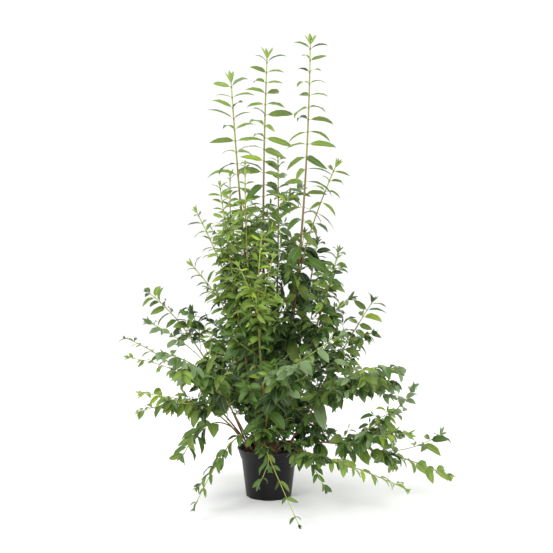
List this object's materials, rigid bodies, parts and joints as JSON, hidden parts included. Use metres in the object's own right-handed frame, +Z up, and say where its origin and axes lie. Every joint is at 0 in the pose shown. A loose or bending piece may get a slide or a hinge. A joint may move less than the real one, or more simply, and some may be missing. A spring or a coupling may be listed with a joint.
{
  "type": "potted forsythia shrub",
  "caption": "Leafy multi-stemmed forsythia shrub in a plain black plastic nursery pot: tall upright shoots, a bushy middle, and arching and trailing shoots around the rim.",
  "frame": {"origin": "centre of the pot's flat underside, on the ground", "axes": "+Z up along the pot's axis; -Y is the side seen in the picture, +X is to the right in it"},
  "size_m": [1.3008, 1.1222, 1.7576],
  "materials": {
    "pot_plastic": "black moulded plastic with a soft sheen",
    "compost": "moist dark brown potting compost",
    "bark": "thin orange-brown bark with small pale lenticels",
    "leaf_deep": "mature dark green leaves with a soft sheen",
    "leaf_fresh": "mid green leaves",
    "leaf_young": "pale yellow-green young leaves"
  },
  "bodies": {
    "root": {"pot": "pot_plastic", "soil": "compost", "stem_base": "bark", "cane_tall_left": "bark", "leaves_tall_left": "leaf_deep", "cane_tall_middle": "bark", "leaves_tall_middle": "leaf_deep", "cane_tall_right": "bark", "leaves_tall_right": "leaf_deep", "cane_right_riser": "bark", "leaves_right_riser": "leaf_deep", "cane_centre_riser": "bark", "leaves_centre_riser": "leaf_fresh", "cane_left_riser": "bark", "leaves_left_riser": "leaf_young", "cane_left_fan": "bark", "leaves_left_fan": "leaf_young", "cane_front_shoots": "bark", "leaves_front_shoots": "leaf_young", "cane_right_upper": "bark", "leaves_right_upper": "leaf_deep", "cane_back_left_riser": "bark", "leaves_back_left_riser": "leaf_fresh", "cane_back_right_riser": "bark", "leaves_back_right_riser": "leaf_fresh", "cane_left_high": "bark", "leaves_left_high": "leaf_fresh", "cane_left_far": "bark", "leaves_left_far": "leaf_deep", "cane_left_spray": "bark", "leaves_left_spray": "leaf_fresh", "cane_left_low": "bark", "leaves_left_low": "leaf_young", "cane_left_arch": "bark", "leaves_left_arch": "leaf_fresh", "cane_left_trail": "bark", "leaves_left_trail": "leaf_fresh", "cane_right_high": "bark", "leaves_right_high": "leaf_deep", "cane_right_mid": "bark", "leaves_right_mid": "leaf_fresh", "cane_right_arm": "bark", "leaves_right_arm": "leaf_fresh", "cane_right_far": "bark", "leaves_right_far": "leaf_fresh", "cane_right_trail": "bark", "leaves_right_trail": "leaf_fresh", "cane_front_trail": "bark", "leaves_front_trail": "leaf_fresh", "cane_front_spray": "bark", "leaves_front_spray": "leaf_fresh", "cane_back_far_left": "bark", "leaves_back_far_left": "leaf_deep", "cane_back_centre": "bark", "leaves_back_centre": "leaf_deep", "cane_back_right": "bark", "leaves_back_right": "leaf_fresh", "cane_back_low": "bark", "leaves_back_low": "leaf_deep"}
  },
  "joints": []
}
